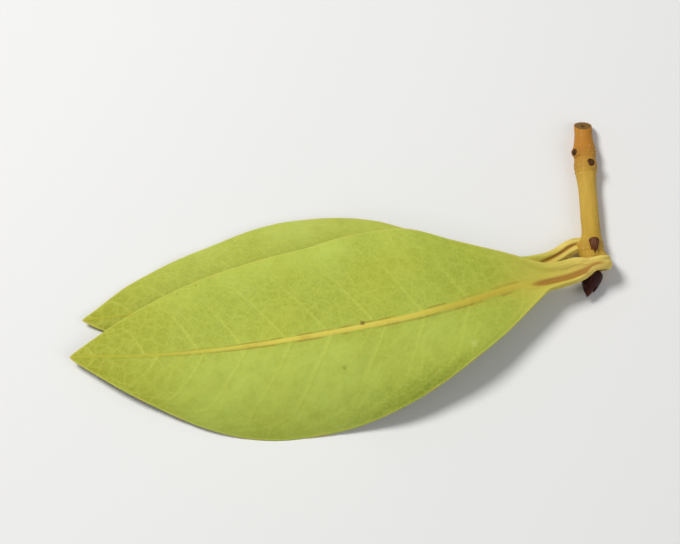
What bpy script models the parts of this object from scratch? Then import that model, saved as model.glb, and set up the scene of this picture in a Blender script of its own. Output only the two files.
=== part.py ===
"""A sprig of bay laurel lying on a flat surface: a short twig with a bud at its growing end
and two leaves, one over the other, whose stalks join the twig close together.

Units are metres and +Z is up. The origin is on the flat underside of the twig, where it lies.
The twig runs towards +Y and the leaves towards -X. Lengths below are in millimetres and are
turned into metres by MM when a mesh is made.
"""

import math

import bmesh
import bpy
from mathutils import Matrix, Vector

MM = 0.001

# Twig: its axis, from the growing end to the cut end, as (x, y) at even steps.
TWIG_AXIS = [(-0.08, -1.6), (0.02, 2.5), (-0.17, 6.6), (-0.43, 10.8), (-0.7, 14.9), (-0.92, 19.0)]
TWIG_RADIUS = 1.22
TWIG_END_RADIUS = 1.16
TWIG_HEIGHT = 1.42  # of its axis; less than the radius at the nodes, so these are flat below
NODE_SWELLING = 0.3  # how far the twig swells out where leaves grow or grew
NODE_REACH = 1.4  # how far along the twig each swelling runs
NODE_PLACES = [0.05, 0.135, 0.68, 0.775]  # shares of the twig's length
TWIG_STATIONS = 44
CUT_SLANT = math.radians(34)
CUT_PLACE = 0.96  # share of the axis at which the cut crosses it

# What has grown out of the twig and is one with it: buds in the leaf axils, and the cushions
# that leaf stalks stand on. Each has its share of the twig's length, its turn round the twig
# from straight up towards +X, its length along the twig, its width, and how far it stands out.
GROWTHS = {
    "axil_bud": dict(at=0.135, turn=8, length=2.1, width=1.2, height=0.55),
    "scarred_bud_right": dict(at=0.68, turn=30, length=1.6, width=1.25, height=0.5),
    "scarred_bud_left": dict(at=0.773, turn=-64, length=1.6, width=1.2, height=0.5),
    "front_cushion": dict(at=0.055, turn=80, length=2.2, width=1.9, height=0.75),
    "under_cushion": dict(at=0.14, turn=-84, length=2.4, width=1.7, height=0.5),
}

# Bud at the growing end, pointing away from the twig, with overlapping scales.
TIP_BUD_LENGTH = 3.7
TIP_BUD_RADIUS = 1.36
TIP_BUD_BLUNTNESS = 0.24  # power by which the base swells; the rest tapers evenly to the tip
TIP_BUD_GAP = 0.48
TIP_BUD_TURN = math.radians(-13)  # to the left of the twig's own line
TIP_BUD_SCALES = 3
SCALE_STEP = 0.12  # share of the radius by which the edge of a scale stands out

# Leaves. A path is the line of the midrib, as (x, y, z), from the stalk's foot to the blade and
# from there to the tip. The widths are from the midrib to each edge of the blade, at even steps
# from the blade's base to its tip; "far" is the side towards +Y.
BLADE_THICKNESS = 0.62
VEIN_THICKNESS = 0.86
RIB_THICKNESS = 1.25
STALK_EDGE_THICKNESS = 0.8
STALK_ROWS = 9
BLADE_ROWS = 40
ROWS_PER_VEIN = 4
COLUMNS = 16

FRONT_LEAF = dict(
    name="front_leaf",
    stalk=[(1.75, -1.05, 3.65), (0.2, -1.4, 3.9), (-2.1, -2.3, 3.75), (-4.1, -3.0, 3.8)],
    stalk_half_widths=(0.6, 0.75, 1.45, 1.5, 1.6),
    blade=[
        (-6.1, -3.4, 3.9),
        (-17.1, -7.4, 5.2),
        (-26.5, -10.0, 5.7),
        (-36.0, -11.8, 5.5),
        (-45.6, -13.1, 4.7),
        (-55.1, -13.6, 3.3),
        (-66.9, -13.4, 1.2),
    ],
    far_widths=(1.6, 8.0, 12.0, 12.6, 12.1, 11.3, 9.8, 6.5, 0.5),
    near_widths=(1.6, 5.9, 9.0, 10.9, 11.5, 11.1, 9.0, 5.2, 0.5),
    far_droop=1.9,
    near_droop=5.3,
    droop_start=0.05,
    droop_end=0.55,
    wave=0.42,
    waves=5.5,
    wave_shift=(0.6, 2.1),
    channel=0.45,
)
UNDER_LEAF = dict(
    name="under_leaf",
    stalk=[(-2.97, 1.5, 1.75), (-3.47, 1.05, 1.75), (-4.1, 0.3, 1.8), (-5.1, -0.2, 1.85)],
    stalk_half_widths=(0.85, 0.85, 0.85, 0.9, 0.9),
    blade=[
        (-6.1, -0.7, 1.9),
        (-12.2, -2.7, 2.1),
        (-24.8, -4.9, 2.3),
        (-38.5, -5.4, 2.0),
        (-47.9, -6.2, 1.4),
        (-57.4, -7.2, 0.8),
        (-65.4, -8.4, 0.36),
    ],
    far_widths=(0.9, 2.4, 6.6, 10.4, 10.5, 8.9, 6.6, 3.7, 0.5),
    near_widths=(0.9, 3.4, 7.2, 9.4, 9.6, 8.6, 6.5, 3.6, 0.5),
    far_droop=1.1,
    near_droop=1.2,
    droop_start=0.0,
    droop_end=0.3,
    wave=0.3,
    waves=6.5,
    wave_shift=(2.4, 0.3),
    channel=0.3,
)
DROOP_POWER = 1.8  # above 1 keeps the blade level near the midrib
VEIN_SWEEP = 0.15  # how far a side vein runs on towards the tip, as a share of the blade
SWEEP_POWER = 1.1
COLUMN_BUNCHING = 0.35  # how much closer the columns stand beside the midrib
RIB_WIDTH = 0.75  # half the midrib's width where it is widest


def clear_scene():
    for obj in list(bpy.data.objects):
        bpy.data.objects.remove(obj)


def new_collection(name):
    collection = bpy.data.collections.new(name)
    bpy.context.scene.collection.children.link(collection)
    return collection


def new_material(name, colour, roughness):
    material = bpy.data.materials.new(name)
    material.use_nodes = True
    shader = material.node_tree.nodes["Principled BSDF"]
    shader.inputs["Base Color"].default_value = (*colour, 1)
    shader.inputs["Roughness"].default_value = roughness
    shader.inputs["Metallic"].default_value = 0
    return material


def smooth_step(value):
    value = min(max(value, 0), 1)
    return value * value * (3 - 2 * value)


def along(points, share):
    """A point on the smooth curve through points, at a share of its length in steps."""
    last = len(points) - 1
    place = min(max(share, 0), 1) * last
    i = min(int(place), last - 1)
    f = place - i
    b, c = Vector(points[i]), Vector(points[i + 1])
    a = Vector(points[i - 1]) if i > 0 else 2 * b - c
    d = Vector(points[i + 2]) if i + 2 <= last else 2 * c - b
    return 0.5 * (
        2 * b + (c - a) * f + (2 * a - 5 * b + 4 * c - d) * f**2 + (3 * b - a - 3 * c + d) * f**3
    )


def add_mesh_object(name, bm, material, collection):
    mesh = bpy.data.meshes.new(name)
    bm.to_mesh(mesh)
    bm.free()
    mesh.materials.append(material)
    obj = bpy.data.objects.new(name, mesh)
    collection.objects.link(obj)
    return obj


def face_outwards(bm):
    bm.normal_update()
    bmesh.ops.recalc_face_normals(bm, faces=bm.faces[:])


def shade(obj, degrees=50):
    obj.data.shade_smooth()
    obj.data.set_sharp_from_angle(angle=math.radians(degrees))


# ---------------------------------------------------------------- leaves


def width_at(widths, share):
    """A width at a share of the way through a list of them at even steps."""
    return along([(width, 0, 0) for width in widths], share).x


def margin_wave(leaf, share, side):
    """Height of the waved edge at a share of the blade's length, on one side of the midrib."""
    shift = leaf["wave_shift"][0 if side > 0 else 1]
    fade = math.sin(math.pi * min(max(share, 0), 1)) ** 0.5
    slow = 0.6 + 0.4 * math.sin(2 * math.pi * 0.8 * share + shift)
    return leaf["wave"] * fade * slow * math.sin(2 * math.pi * leaf["waves"] * share + shift)


def leaf_place(leaf, row, across):
    """Position in millimetres, and thickness, of the leaf's middle surface.

    row counts from the stalk's foot to the tip; across is -1 at the near edge, 1 at the far one.
    """
    side = 1 if across > 0 else -1
    widths = leaf["far_widths"] if side > 0 else leaf["near_widths"]
    if row < STALK_ROWS:
        share = row / STALK_ROWS
        points = [*leaf["stalk"], leaf["blade"][0]]
        blade_share = 0.0
        fraction = across
        edge = width_at(leaf["stalk_half_widths"], share)
    else:
        steady = (row - STALK_ROWS) / BLADE_ROWS
        fraction = side * abs(across) ** (1 + COLUMN_BUNCHING * math.sin(math.pi * steady))
        sweep = VEIN_SWEEP * math.sin(math.pi * steady) * abs(fraction) ** SWEEP_POWER
        share = blade_share = steady + sweep
        points = leaf["blade"]
        edge = width_at(widths, blade_share)
    middle = along(points, share)
    ahead = along(points, min(share + 0.01, 1)) - along(points, max(share - 0.01, 0))
    sideways = ahead.cross(Vector((0, 0, 1))).normalized()
    offset = fraction * edge
    reach = abs(offset) / max(widths)
    droop = leaf["far_droop"] if side > 0 else leaf["near_droop"]
    start, end = leaf["droop_start"], leaf["droop_end"]
    hang = droop * smooth_step((blade_share - start) / (end - start)) * reach**DROOP_POWER
    wave = margin_wave(leaf, blade_share, side) * abs(fraction) ** 3
    stalkness = 1 - smooth_step(blade_share / 0.15)
    lift = leaf["channel"] * stalkness * fraction**2
    place = middle + sideways * offset + Vector((0, 0, lift + wave - hang))
    return place, leaf_thickness(row, blade_share, offset, fraction, stalkness)


def leaf_thickness(row, blade_share, offset, fraction, stalkness):
    """Thickness in millimetres: thick in the stalk and midrib, and a little in the side veins."""
    taper = 1 - 0.72 * blade_share
    rib = math.exp(-((offset / (RIB_WIDTH * taper)) ** 2)) * taper
    veined = row > STALK_ROWS and (row - STALK_ROWS) % ROWS_PER_VEIN == 2
    vein = (VEIN_THICKNESS - BLADE_THICKNESS) * (1 - abs(fraction)) ** 0.5 if veined else 0
    stalk = (STALK_EDGE_THICKNESS - BLADE_THICKNESS) * stalkness
    thickness = BLADE_THICKNESS + max((RIB_THICKNESS - BLADE_THICKNESS) * rib, vein, stalk)
    return thickness


def build_leaf(leaf, material, collection):
    """A flat grid bent into the leaf's middle surface, then given its thickness."""
    rows = STALK_ROWS + BLADE_ROWS
    bm = bmesh.new()
    bmesh.ops.create_grid(bm, x_segments=rows, y_segments=COLUMNS, size=0.5)
    weights = {}
    for vert in bm.verts:
        row = round((vert.co.x + 0.5) * rows)
        place, thickness = leaf_place(leaf, row, 2 * vert.co.y)
        vert.co = place * MM
        weights[vert.index] = thickness / RIB_THICKNESS
    bmesh.ops.triangulate(bm, faces=bm.faces[:])
    # The path runs towards -X, which leaves the grid upside down, so its faces are turned up.
    bm.normal_update()
    if sum(face.normal.z for face in bm.faces) < 0:
        bmesh.ops.reverse_faces(bm, faces=bm.faces[:])
    obj = add_mesh_object(leaf["name"], bm, material, collection)
    group = obj.vertex_groups.new(name="thickness")
    for index, weight in weights.items():
        group.add([index], weight, "REPLACE")
    solidify = obj.modifiers.new("Blade thickness", "SOLIDIFY")
    solidify.thickness = RIB_THICKNESS * MM
    solidify.offset = 0
    solidify.vertex_group = "thickness"
    apply_modifiers(obj)
    settle_on_surface(obj)
    shade(obj)
    return obj


def apply_modifiers(obj):
    graph = bpy.context.evaluated_depsgraph_get()
    mesh = bpy.data.meshes.new_from_object(obj.evaluated_get(graph))
    obj.modifiers.clear()
    obj.data = mesh


def settle_on_surface(obj):
    """Presses whatever dips under the surface flat on it."""
    for vert in obj.data.vertices:
        vert.co.z = max(vert.co.z, 0)


# ---------------------------------------------------------------- twig and buds


def twig_radius(share):
    """Radius at a share of the twig's length, with its swellings."""
    length = TWIG_AXIS[-1][1] - TWIG_AXIS[0][1]
    radius = TWIG_RADIUS + (TWIG_END_RADIUS - TWIG_RADIUS) * share
    swell = max(math.exp(-(((share - at) * length / NODE_REACH) ** 2)) for at in NODE_PLACES)
    return radius + NODE_SWELLING * swell


def twig_centre(share):
    """A point on the twig's axis."""
    return along([(x, y, TWIG_HEIGHT) for x, y in TWIG_AXIS], share)


def mesh_from_curve(curve_object):
    """A curve made a closed mesh object, with its end caps welded on."""
    graph = bpy.context.evaluated_depsgraph_get()
    mesh = bpy.data.meshes.new_from_object(curve_object.evaluated_get(graph))
    bm = bmesh.new()
    bm.from_mesh(mesh)
    bmesh.ops.remove_doubles(bm, verts=bm.verts[:], dist=1e-6)
    bm.to_mesh(mesh)
    bm.free()
    obj = bpy.data.objects.new(curve_object.name, mesh)
    obj.matrix_world = curve_object.matrix_world
    bpy.data.objects.remove(curve_object)
    return obj


def build_twig(material, collection, cutters):
    """A tapering stem with swollen nodes and a slanting cut end, and what has grown on it."""
    curve = bpy.data.curves.new("twig_axis", "CURVE")
    curve.dimensions = "3D"
    curve.bevel_depth = MM
    curve.bevel_resolution = 6
    curve.use_fill_caps = True
    spline = curve.splines.new("POLY")
    spline.points.add(TWIG_STATIONS - 1)
    for i, point in enumerate(spline.points):
        share = i / (TWIG_STATIONS - 1)
        point.co = (*(twig_centre(share) * MM), 1)
        point.radius = twig_radius(share)
    guide = bpy.data.objects.new("twig", curve)
    collection.objects.link(guide)
    twig = mesh_from_curve(guide)
    twig.name = "twig"
    twig.data.materials.append(material)
    collection.objects.link(twig)
    slant_cut_end(twig)
    for name, growth in GROWTHS.items():
        build_growth(name, growth, material, cutters)
    join = twig.modifiers.new("Buds and cushions", "BOOLEAN")
    join.operation = "UNION"
    join.operand_type = "COLLECTION"
    join.collection = cutters
    join.solver = "EXACT"
    apply_modifiers(twig)
    flatten_underside(twig)
    for obj in list(cutters.objects):
        bpy.data.objects.remove(obj)
    shade(twig, 40)
    return twig


def cut_away(obj, point, normal):
    """Takes off what lies beyond a plane, on the side its normal points to, and closes the cut."""
    bm = bmesh.new()
    bm.from_mesh(obj.data)
    geometry = bm.verts[:] + bm.edges[:] + bm.faces[:]
    cut = bmesh.ops.bisect_plane(
        bm, geom=geometry, dist=1e-7, plane_co=point, plane_no=normal, clear_outer=True
    )
    edges = [item for item in cut["geom_cut"] if isinstance(item, bmesh.types.BMEdge)]
    bmesh.ops.holes_fill(bm, edges=edges)
    bm.to_mesh(obj.data)
    bm.free()


def slant_cut_end(twig):
    heading = (twig_centre(1) - twig_centre(0.9)).normalized()
    normal = Matrix.Rotation(CUT_SLANT, 3, "X") @ heading
    cut_away(twig, twig_centre(CUT_PLACE) * MM, normal)


def flatten_underside(twig):
    cut_away(twig, Vector((0, 0, 0)), Vector((0, 0, -1)))


def build_growth(name, growth, material, cutters):
    """An egg with its narrow end towards the growing end, half sunk in the twig's side."""
    bm = bmesh.new()
    bmesh.ops.create_uvsphere(bm, u_segments=12, v_segments=8, radius=1)
    at = growth["at"]
    ahead = (twig_centre(at - 0.02) - twig_centre(at + 0.02)).normalized()
    out = Matrix.Rotation(math.radians(-growth["turn"]), 3, ahead) @ Vector((0, 0, 1))
    around = ahead.cross(out)
    spot = twig_centre(at) + out * (twig_radius(at) - 0.15)
    for vert in bm.verts:
        narrowing = 1 - 0.4 * max(vert.co.z, 0) ** 2
        sideways = around * vert.co.x * growth["width"] / 2 * narrowing
        outward = out * vert.co.y * (growth["height"] + 0.15) * narrowing
        vert.co = (spot + sideways + outward + ahead * vert.co.z * growth["length"] / 2) * MM
    face_outwards(bm)
    obj = add_mesh_object(name, bm, material, cutters)
    obj.hide_render = True
    obj.display_type = "WIRE"


def build_tip_bud(material, collection):
    """The bud at the growing end: a pointed egg whose surface steps out at each scale's edge."""
    heading = (twig_centre(0) - twig_centre(0.08)).normalized()
    heading = Matrix.Rotation(TIP_BUD_TURN, 3, "Z") @ heading
    sideways = heading.cross(Vector((0, 0, 1))).normalized()
    upward = sideways.cross(heading)
    base = twig_centre(0) + heading * TIP_BUD_GAP
    widest = TIP_BUD_BLUNTNESS / (1 + TIP_BUD_BLUNTNESS)
    fullest = widest**TIP_BUD_BLUNTNESS * (1 - widest)
    bm = bmesh.new()
    bmesh.ops.create_uvsphere(bm, u_segments=20, v_segments=18, radius=1)
    for vert in bm.verts:
        share = min(max((vert.co.z + 1) / 2, 0), 1)
        turn = math.atan2(vert.co.y, vert.co.x)
        ring = math.hypot(vert.co.x, vert.co.y)
        plump = share**TIP_BUD_BLUNTNESS * (1 - share) / fullest
        scale_place = (share * 2.2 + turn / (2 * math.pi) * TIP_BUD_SCALES) % 1
        step = SCALE_STEP * (scale_place - 0.5) * ring
        radius = TIP_BUD_RADIUS * (plump + step) * (ring > 0.01)
        spot = base + heading * share * TIP_BUD_LENGTH
        vert.co = (spot + (sideways * math.cos(turn) + upward * math.sin(turn)) * radius) * MM
    face_outwards(bm)
    bud = add_mesh_object("tip_bud", bm, material, collection)
    settle_on_surface(bud)
    shade(bud)
    return bud


def main():
    clear_scene()
    sprig = new_collection("bay_laurel_sprig")
    cutters = new_collection("helpers")
    leaf_green = new_material("front leaf green", (0.45, 0.52, 0.11), 0.55)
    under_green = new_material("under leaf green", (0.45, 0.54, 0.14), 0.6)
    bark = new_material("golden bark", (0.56, 0.36, 0.09), 0.65)
    bud_brown = new_material("bud brown", (0.16, 0.05, 0.03), 0.6)
    build_twig(bark, sprig, cutters)
    build_tip_bud(bud_brown, sprig)
    build_leaf(FRONT_LEAF, leaf_green, sprig)
    build_leaf(UNDER_LEAF, under_green, sprig)


main()
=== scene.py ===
import bpy
import math
import numpy as np
from mathutils import Matrix, Vector


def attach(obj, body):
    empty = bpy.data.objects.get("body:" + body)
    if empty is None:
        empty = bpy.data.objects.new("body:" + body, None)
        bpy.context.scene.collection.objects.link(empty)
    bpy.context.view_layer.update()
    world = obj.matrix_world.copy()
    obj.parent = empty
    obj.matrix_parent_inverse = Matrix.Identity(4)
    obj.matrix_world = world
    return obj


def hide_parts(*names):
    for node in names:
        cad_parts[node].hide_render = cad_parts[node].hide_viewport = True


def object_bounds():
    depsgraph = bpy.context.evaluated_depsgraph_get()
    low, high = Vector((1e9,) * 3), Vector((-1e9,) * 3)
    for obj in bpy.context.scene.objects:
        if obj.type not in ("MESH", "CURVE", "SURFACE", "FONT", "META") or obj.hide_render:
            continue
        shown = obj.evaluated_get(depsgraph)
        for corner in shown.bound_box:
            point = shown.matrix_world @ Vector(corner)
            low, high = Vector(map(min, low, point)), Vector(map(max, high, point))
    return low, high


# A sprig of bay laurel: fine leaves, bark and buds over the plain solids of the frame.
# Pieces are made in millimetres and turned into metres when they are finished.

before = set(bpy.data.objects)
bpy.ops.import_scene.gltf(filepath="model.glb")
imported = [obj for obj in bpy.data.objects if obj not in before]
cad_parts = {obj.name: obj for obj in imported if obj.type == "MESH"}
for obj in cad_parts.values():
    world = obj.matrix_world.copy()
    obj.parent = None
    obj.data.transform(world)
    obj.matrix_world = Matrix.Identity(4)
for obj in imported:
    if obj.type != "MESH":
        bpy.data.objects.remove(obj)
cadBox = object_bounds()
mm = 0.001
seamGap = 0.0005  # in millimetres: points this near are one
print("frame loaded:", ", ".join(sorted(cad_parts)))


class Wire:
    # one output of a node, so that sums on outputs read as sums
    def __init__(self, graph, socket):
        self.graph, self.socket = graph, socket

    def __add__(self, other):
        return self.graph.sum("ADD", self, other)

    def __radd__(self, other):
        return self.graph.sum("ADD", other, self)

    def __sub__(self, other):
        return self.graph.sum("SUBTRACT", self, other)

    def __rsub__(self, other):
        return self.graph.sum("SUBTRACT", other, self)

    def __mul__(self, other):
        return self.graph.sum("MULTIPLY", self, other)

    def __rmul__(self, other):
        return self.graph.sum("MULTIPLY", other, self)

    def __truediv__(self, other):
        return self.graph.sum("DIVIDE", self, other)

    def __rtruediv__(self, other):
        return self.graph.sum("DIVIDE", other, self)

    def __pow__(self, other):
        return self.graph.sum("POWER", self, other)

    def also(self, output):
        # another output of the same node
        return Wire(self.graph, self.socket.node.outputs[output])


class Graph:
    def __init__(self, tree):
        self.tree = tree

    def add(self, kind, settings=None, inputs=None, output=0):
        # adds a node: its settings first, then the values or wires of its sockets
        node = self.tree.nodes.new(kind)
        for name, value in (settings or {}).items():
            setattr(node, name, value)
        for name, value in (inputs or {}).items():
            self.feed(node.inputs[name], value)
        return Wire(self, node.outputs[output])

    def feed(self, socket, value):
        if isinstance(value, Wire):
            self.tree.links.new(value.socket, socket)
        elif value is not None:
            socket.default_value = value

    def sum(self, operation, a, b):
        if not (isVector(a) or isVector(b)):
            return self.fn(operation, a, b)
        if operation == "MULTIPLY" and not all(isVector(x) for x in (a, b)):
            vector, scale = (a, b) if isVector(a) else (b, a)
            return self.add("ShaderNodeVectorMath", {"operation": "SCALE"}, {0: vector, "Scale": scale})
        return self.direction(operation, a, b)

    def fn(self, operation, a, b=None):
        return self.add("ShaderNodeMath", {"operation": operation}, {0: a, 1: b})

    def bell(self, distance, width):
        # 1 at no distance, falling smoothly to nothing past the width
        ratio = distance / width
        return self.fn("EXPONENT", ratio * ratio * -1)

    def step(self, value, low, high):
        # rises smoothly from 0 at low to 1 at high
        return self.add(
            "ShaderNodeMapRange",
            {"interpolation_type": "SMOOTHSTEP"},
            {"Value": value, "From Min": low, "From Max": high},
        )

    def mix(self, factor, a, b):
        # a number between two numbers
        return self.add("ShaderNodeMix", {"data_type": "FLOAT"}, {0: factor, 2: a, 3: b})

    def blend(self, factor, a, b):
        # a colour between two colours
        settings = {"data_type": "RGBA", "blend_type": "MIX"}
        return self.add("ShaderNodeMix", settings, {0: factor, 6: a, 7: b}, output=2)

    def layers(self, colour, colours, **amounts):
        # named colours laid over a colour in turn, each as strongly as its amount
        for name, amount in amounts.items():
            colour = self.blend(amount, colour, colours[name])
        return colour

    def vector(self, x, y, z):
        return self.add("ShaderNodeCombineXYZ", None, {0: x, 1: y, 2: z})

    def split(self, vector):
        first = self.add("ShaderNodeSeparateXYZ", None, {0: vector})
        return first, first.also(1), first.also(2)

    def direction(self, operation, a, b=None):
        return self.add("ShaderNodeVectorMath", {"operation": operation}, {0: a, 1: b})

    def clamp(self, value):
        return self.add("ShaderNodeMath", {"operation": "ADD", "use_clamp": True}, {0: value, 1: 0.0})

    def random(self, low, high, seed):
        # a number for each point, the same at each run
        inputs = {2: low, 3: high, "Seed": seed}
        return self.add("FunctionNodeRandomValue", {"data_type": "FLOAT"}, inputs, output=1)

    def read(self, label, output="Fac"):
        # an attribute of the mesh, in a material
        return self.add("ShaderNodeAttribute", {"attribute_name": label}, None, output)

    def noise(self, place, size, detail, output="Fac"):
        # size is that of its patches, in the units of place
        inputs = {"Vector": place, "Scale": 1 / size, "Detail": detail}
        return self.add("ShaderNodeTexNoise", {"noise_dimensions": "3D"}, inputs, output)

    def stretched(self, place, x, y, z):
        return place * self.vector(x, y, z)

    def cells(self, feature, place, scale):
        # the gap to the nearest cell's middle or border
        return self.add("ShaderNodeTexVoronoi", {"feature": feature}, {"Vector": place, "Scale": scale})

    def grid(self, rows, columns):
        inputs = {"Size X": 1.0, "Size Y": 1.0, "Vertices X": rows, "Vertices Y": columns}
        return self.add("GeometryNodeMeshGrid", None, inputs)

    def line(self, count):
        return self.add("GeometryNodeMeshLine", None, {"Count": count})

    def move(self, geometry, **how):
        # to a Position, or by an Offset
        return self.add("GeometryNodeSetPosition", None, {"Geometry": geometry, **how})

    def flip(self, geometry):
        return self.add("GeometryNodeFlipFaces", None, {"Mesh": geometry})

    def copies(self, points, shape, **more):
        # a copy of the shape on each point, as faces of its own
        inputs = {"Points": points, "Instance": shape, **more}
        placed = self.add("GeometryNodeInstanceOnPoints", None, inputs)
        return self.add("GeometryNodeRealizeInstances", None, {"Geometry": placed})

    def finish(self, shader, colour, roughness, gloss, height, relief):
        # relief is the bump's strength and its depth in metres
        shader.inputs["Specular IOR Level"].default_value = gloss
        self.feed(shader.inputs["Base Color"], colour)
        self.feed(shader.inputs["Roughness"], roughness)
        inputs = {"Strength": relief[0], "Distance": relief[1], "Height": height}
        self.feed(shader.inputs["Normal"], self.add("ShaderNodeBump", None, inputs))


def isVector(value):
    return value.socket.type in ("VECTOR", "RGBA") if isinstance(value, Wire) else isinstance(value, tuple)


def paint(*screen):
    # a colour given as on a screen, 0 to 255, in the linear values that nodes take
    return (*(((c / 255 + 0.055) / 1.055) ** 2.4 if c > 10 else c / 3294 for c in screen), 1)


def palette(**colours):
    return {name: paint(*screen) for name, screen in colours.items()}


socketKinds = {float: "Float", int: "Int", tuple: "Vector", type(None): "Material"}


def geometryTree(name, inputs):
    # a tree with these named inputs and first values, and the wires that they come in on
    tree = bpy.data.node_groups.new(name, "GeometryNodeTree")
    tree.interface.new_socket("Geometry", in_out="INPUT", socket_type="NodeSocketGeometry")
    for label, value in inputs.items():
        kind = "NodeSocket" + socketKinds[type(value)]
        socket = tree.interface.new_socket(label, in_out="INPUT", socket_type=kind)
        if value is not None:
            socket.default_value = value
    tree.interface.new_socket("Geometry", in_out="OUTPUT", socket_type="NodeSocketGeometry")
    graph = Graph(tree)
    entry = tree.nodes.new("NodeGroupInput")
    wires = {socket.name: Wire(graph, socket) for socket in entry.outputs if socket.name}
    return graph, wires


def closeUp(graph, *pieces):
    # one surface from pieces whose edges meet, with nothing below the ground
    both = graph.add("GeometryNodeJoinGeometry")
    for piece in pieces:
        graph.tree.links.new(piece.socket, both.socket.node.inputs[0])
    closed = graph.add("GeometryNodeMergeByDistance", None, {"Geometry": both, "Distance": seamGap})
    x, y, z = graph.split(graph.add("GeometryNodeInputPosition"))
    return graph.move(closed, Position=graph.vector(x, y, graph.fn("MAXIMUM", z, 0)))


def endTree(graph, geometry, material):
    solid = graph.add("GeometryNodeRealizeInstances", None, {"Geometry": geometry})
    smooth = graph.add("GeometryNodeSetShadeSmooth", None, {"Geometry": solid})
    done = graph.add("GeometryNodeSetMaterial", None, {"Geometry": smooth, "Material": material})
    output = graph.tree.nodes.new("NodeGroupOutput")
    graph.tree.links.new(done.socket, output.inputs["Geometry"])


def link(obj):
    bpy.context.scene.collection.objects.link(obj)
    return obj


def growThrough(obj, graph, values):
    # runs an object through a tree with these values, and leaves it a plain mesh in metres
    modifier = obj.modifiers.new(graph.tree.name, "NODES")
    modifier.node_group = graph.tree
    for item in graph.tree.interface.items_tree:
        if item.in_out == "INPUT" and item.name in values:
            modifier[item.identifier] = values[item.name]
    link(obj)
    view = bpy.context.evaluated_depsgraph_get()
    mesh = bpy.data.meshes.new_from_object(obj.evaluated_get(view), depsgraph=view)
    bpy.data.objects.remove(obj)
    mesh.transform(Matrix.Scale(mm, 4))
    mesh.materials.clear()  # the tree leaves an empty slot before the material
    mesh.materials.append(values["Material"])
    return mesh


def startSkin(name):
    material = bpy.data.materials.new(name)
    material.use_nodes = True
    return material, material.node_tree.nodes["Principled BSDF"], Graph(material.node_tree)


def addPiece(name, mesh, nodes=()):
    piece = link(bpy.data.objects.new(name, mesh))
    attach(piece, "root")
    if nodes:
        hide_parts(*nodes)
    print(f"{name}: {len(mesh.polygons)} faces")


def smoothPath(points, shares):
    # places on the smooth curve through points, at shares of its length in steps
    points = np.array([np.ravel(point) for point in points], float)
    padded = np.vstack([2 * points[0] - points[1], points, 2 * points[-1] - points[-2]])
    place = np.clip(shares, 0, 1) * (len(points) - 1)
    i = np.minimum(place.astype(int), len(points) - 2)
    f = (place - i)[..., None]
    a, b, c, d = (padded[i + k] for k in range(4))
    return 0.5 * (2 * b + (c - a) * f + (2 * a - 5 * b + 4 * c - d) * f**2 + (3 * b - a - 3 * c + d) * f**3)


def smoothStep(value):
    value = np.clip(value, 0, 1)
    return value * value * (3 - 2 * value)


def bump(distance, width):
    # 1 at no distance, as the graph's bell
    return np.exp(-((distance / width) ** 2))


def soften(values, window):
    # a running mean down the rows of a list, with its ends held
    kernel = np.ones(window) / window
    first, last = (np.repeat(end, window // 2, 0) for end in (values[:1], values[-1:]))
    padded = np.concatenate([first, values, last])
    return np.stack([np.convolve(column, kernel, "valid") for column in padded.T], 1)[: len(values)]


def gridMesh(name, places, attributes):
    # a sheet of faces through rows and columns of places, with numbers kept on its points
    rows, columns = places.shape[:2]
    corner = np.arange(rows * columns).reshape(rows, columns)
    faces = np.stack([corner[:-1, :-1], corner[:-1, 1:], corner[1:, 1:], corner[1:, :-1]], -1)
    mesh = bpy.data.meshes.new(name)
    mesh.from_pydata(places.reshape(-1, 3).tolist(), [], faces.reshape(-1, 4).tolist())
    for label, values in attributes.items():
        kind, field = ("FLOAT", "value") if values.ndim == 2 else ("FLOAT_VECTOR", "vector")
        mesh.attributes.new(label, kind, "POINT").data.foreach_set(field, values.ravel().astype(np.float32))
    return mesh


# A path is the line of the midrib, from the stalk's foot to the blade and from there to the tip.
# Widths run from the midrib to each edge of the blade, at even steps from its base to its tip.

frontLeaf = {
    "node": "front_leaf",
    "slot": "front_leaf_green",
    "stalk": [
        (0.7, -0.55, 1.3), (1.6, -0.9, 2.1), (1.75, -1.1, 3.2), (1.1, -1.3, 3.95),
        (-0.5, -1.65, 4.0), (-2.2, -2.3, 3.8), (-4.1, -3.0, 3.8),
    ],
    "stalkHalfWidths": (0.5, 0.52, 0.48, 0.46, 0.52, 1.4, 1.5, 1.75),
    "blade": [
        (-6.1, -3.4, 3.95), (-17.1, -7.4, 5.25), (-26.5, -10.0, 5.8), (-36.0, -11.8, 5.6),
        (-45.6, -13.1, 4.75), (-55.1, -13.6, 3.3), (-66.9, -13.4, 1.2),
    ],
    "farWidths": (1.6, 8.0, 12.0, 12.6, 12.1, 11.3, 9.8, 6.5, 0.0),
    "nearWidths": (1.6, 5.9, 9.0, 10.9, 11.5, 11.1, 9.0, 5.2, 0.0),
    "farDroop": 1.9,
    "nearDroop": 5.45,
    "droopStart": 0.05,
    "droopEnd": 0.55,
    "wave": 0.42,
    "waves": 5.5,
    "waveShift": (0.6, 2.1),
    "channel": 0.5,
    "tipLift": 0.35,
    "stalkShare": 0.15,  # of the rows, and about of the length
    "spots": [  # each at its distance along the leaf and to the side of the midrib
        {"at": (38.3, -4.6), "size": 0.75, "colour": paint(116, 124, 40)},
        {"at": (35.1, 0.45), "size": 0.6, "colour": paint(122, 92, 34)},
        {"at": (22.4, -5.4), "size": 0.8, "colour": paint(190, 196, 98)},
        {"at": (24.6, -6.9), "size": 0.9, "colour": paint(150, 160, 50)},
    ],
    "rows": 370,
    "columns": 129,
    "seed": 4,
    "grooveShift": 0.7,
    "grooveStart": 0.05,
    "grooveWidth": 0.5,
    "veinChanges": {},
}
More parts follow.
